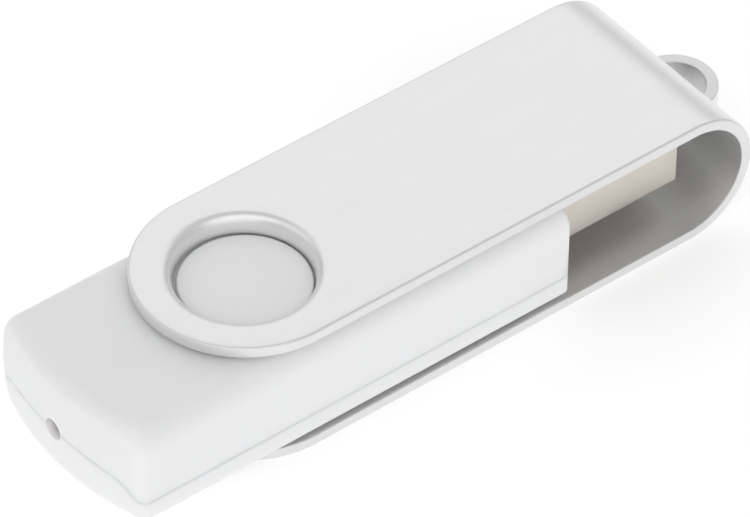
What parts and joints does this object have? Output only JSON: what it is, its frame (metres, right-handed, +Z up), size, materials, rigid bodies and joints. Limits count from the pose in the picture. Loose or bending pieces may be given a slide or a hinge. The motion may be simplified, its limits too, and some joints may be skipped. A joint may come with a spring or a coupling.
{
  "type": "usb flash drive",
  "caption": "Pocket USB flash drive whose plug is covered by a bent metal cover that swivels all the way round, with a key loop at its closed end.",
  "frame": {"origin": "middle of the drive's length and width, on the surface that the cover's lower arm lies on", "axes": "+X along the length, from the plastic body to the closed end of the cover and its key loop; +Z up, square to the cover's two arms, and parallel to the pivot axis"},
  "size_m": [0.0668, 0.0186, 0.0124],
  "materials": {
    "cover_metal": "bead-blasted and anodised satin",
    "body_plastic": "fine satin moulded",
    "plug_metal": "nickel plated",
    "tongue_plastic": "moulded",
    "contact_gold": "gold plated",
    "board_laminate": "solder mask",
    "chip_epoxy": "moulded epoxy",
    "lead_tin": "tin plated",
    "crystal_ceramic": "ceramic",
    "crystal_can": "plated lid",
    "led_case": "moulded",
    "led_lens": "milky tinted resin",
    "capacitor_ceramic": "ceramic",
    "resistor_film": "glazed"
  },
  "bodies": {
    "drive": {"upper_shell": "body_plastic", "lower_shell": "body_plastic", "plug_shell": "plug_metal", "plug_tongue": "tongue_plastic", "vbus_contact": "contact_gold", "data_minus_contact": "contact_gold", "data_plus_contact": "contact_gold", "ground_contact": "contact_gold", "circuit_board": "board_laminate", "memory_chip": "chip_epoxy", "memory_chip_leads": "lead_tin", "controller_chip": "chip_epoxy", "controller_leads": "lead_tin", "crystal_base": "crystal_ceramic", "crystal_lid": "crystal_can", "voltage_regulator": "chip_epoxy", "regulator_leads": "lead_tin", "status_led_base": "led_case", "status_led_lens": "led_lens", "capacitor_bodies": "capacitor_ceramic", "capacitor_terminals": "lead_tin", "resistor_bodies": "resistor_film", "resistor_terminals": "lead_tin", "plug_solder": "lead_tin"},
    "cover": {"swivel_cover": "cover_metal"}
  },
  "joints": [
    {"name": "cover_swivel", "type": "hinge", "parent": "drive", "child": "cover", "pos_m": [-0.01455, 0, 0.0062], "axis": [0, 0, 1], "continuous": true}
  ]
}
